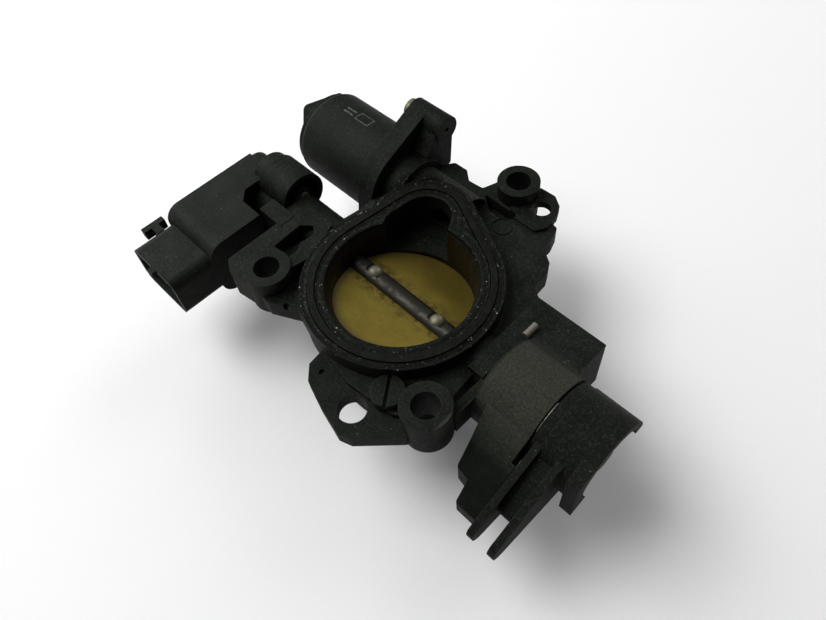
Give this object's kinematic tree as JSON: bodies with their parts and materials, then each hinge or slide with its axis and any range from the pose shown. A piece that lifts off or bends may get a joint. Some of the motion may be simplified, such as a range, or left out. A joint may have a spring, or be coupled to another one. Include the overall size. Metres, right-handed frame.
{
  "type": "throttle body",
  "caption": "Cable throttle body with a flanged round bore, a sprung shaft and plate, a cable quadrant, a position sensor and an idle air motor with its valve.",
  "frame": {"origin": "centre of the bore in the sealing face", "axes": "+Z out of the sealing face, +X along the throttle shaft from the sensor to the cable quadrant, +Y towards the single upper bolt"},
  "size_m": [0.1742, 0.1212, 0.0652],
  "materials": {
    "black_plastic": "moulded satin",
    "sensor_plastic": "moulded satin",
    "motor_plastic": "moulded satin",
    "inner_plastic": "moulded matt",
    "seal_rubber": "matt",
    "steel": "machined",
    "plated_steel": "plated",
    "spring_steel": "drawn",
    "brass": "stained",
    "bush_brass": "sintered",
    "contact_metal": "bright",
    "coil_copper": "enamelled",
    "track_board": "printed"
  },
  "bodies": {
    "body": {"throttle_body": "black_plastic", "face_seal": "seal_rubber", "left_bush": "bush_brass", "right_bush": "bush_brass", "left_shaft_seal": "seal_rubber", "right_shaft_seal": "seal_rubber", "return_spring": "spring_steel", "stop_screw": "plated_steel", "stop_screw_nut": "plated_steel", "retaining_pin": "steel", "channel_plug": "black_plastic", "sensor_housing": "sensor_plastic", "sensor_cover": "sensor_plastic", "sensor_track": "track_board", "sensor_terminals": "contact_metal", "sensor_seal": "seal_rubber", "sensor_screws": "plated_steel", "motor_can": "motor_plastic", "motor_flange": "motor_plastic", "motor_seal": "seal_rubber", "motor_coils": "coil_copper", "motor_bearing": "steel", "pintle_spring": "spring_steel", "motor_connector": "motor_plastic", "motor_terminals": "contact_metal", "motor_screws": "plated_steel"},
    "throttle": {"throttle_shaft": "steel", "throttle_plate": "brass", "plate_screws": "plated_steel", "lever_plate": "steel", "cable_quadrant": "black_plastic", "nut_washer": "plated_steel", "shaft_nut": "plated_steel", "sensor_rotor": "inner_plastic", "sensor_wiper": "contact_metal"},
    "idle_rotor": {"motor_rotor": "inner_plastic"},
    "pintle": {"valve_pintle": "inner_plastic"}
  },
  "joints": [
    {"name": "throttle_turn", "type": "hinge", "parent": "body", "child": "throttle", "pos_m": [0, 0, -0.0125], "axis": [-1, 0, 0], "range_deg": [0, 76], "stiffness_Nm_per_rad": 0.15, "springref_deg": -57.3, "deforming": ["return_spring"]},
    {"name": "idle_rotor_turn", "type": "hinge", "parent": "body", "child": "idle_rotor", "pos_m": [-0.06, 0.038, -0.01], "axis": [1, 0, 0], "range_deg": [0, 1080]},
    {"name": "pintle_slide", "type": "slide", "parent": "body", "child": "pintle", "axis": [1, 0, 0], "range_m": [0, 0.006], "deforming": ["pintle_spring"]}
  ],
  "couplings": [
    {"joint": "pintle_slide", "follows": "idle_rotor_turn", "m_per_rad": 0.00031831}
  ]
}
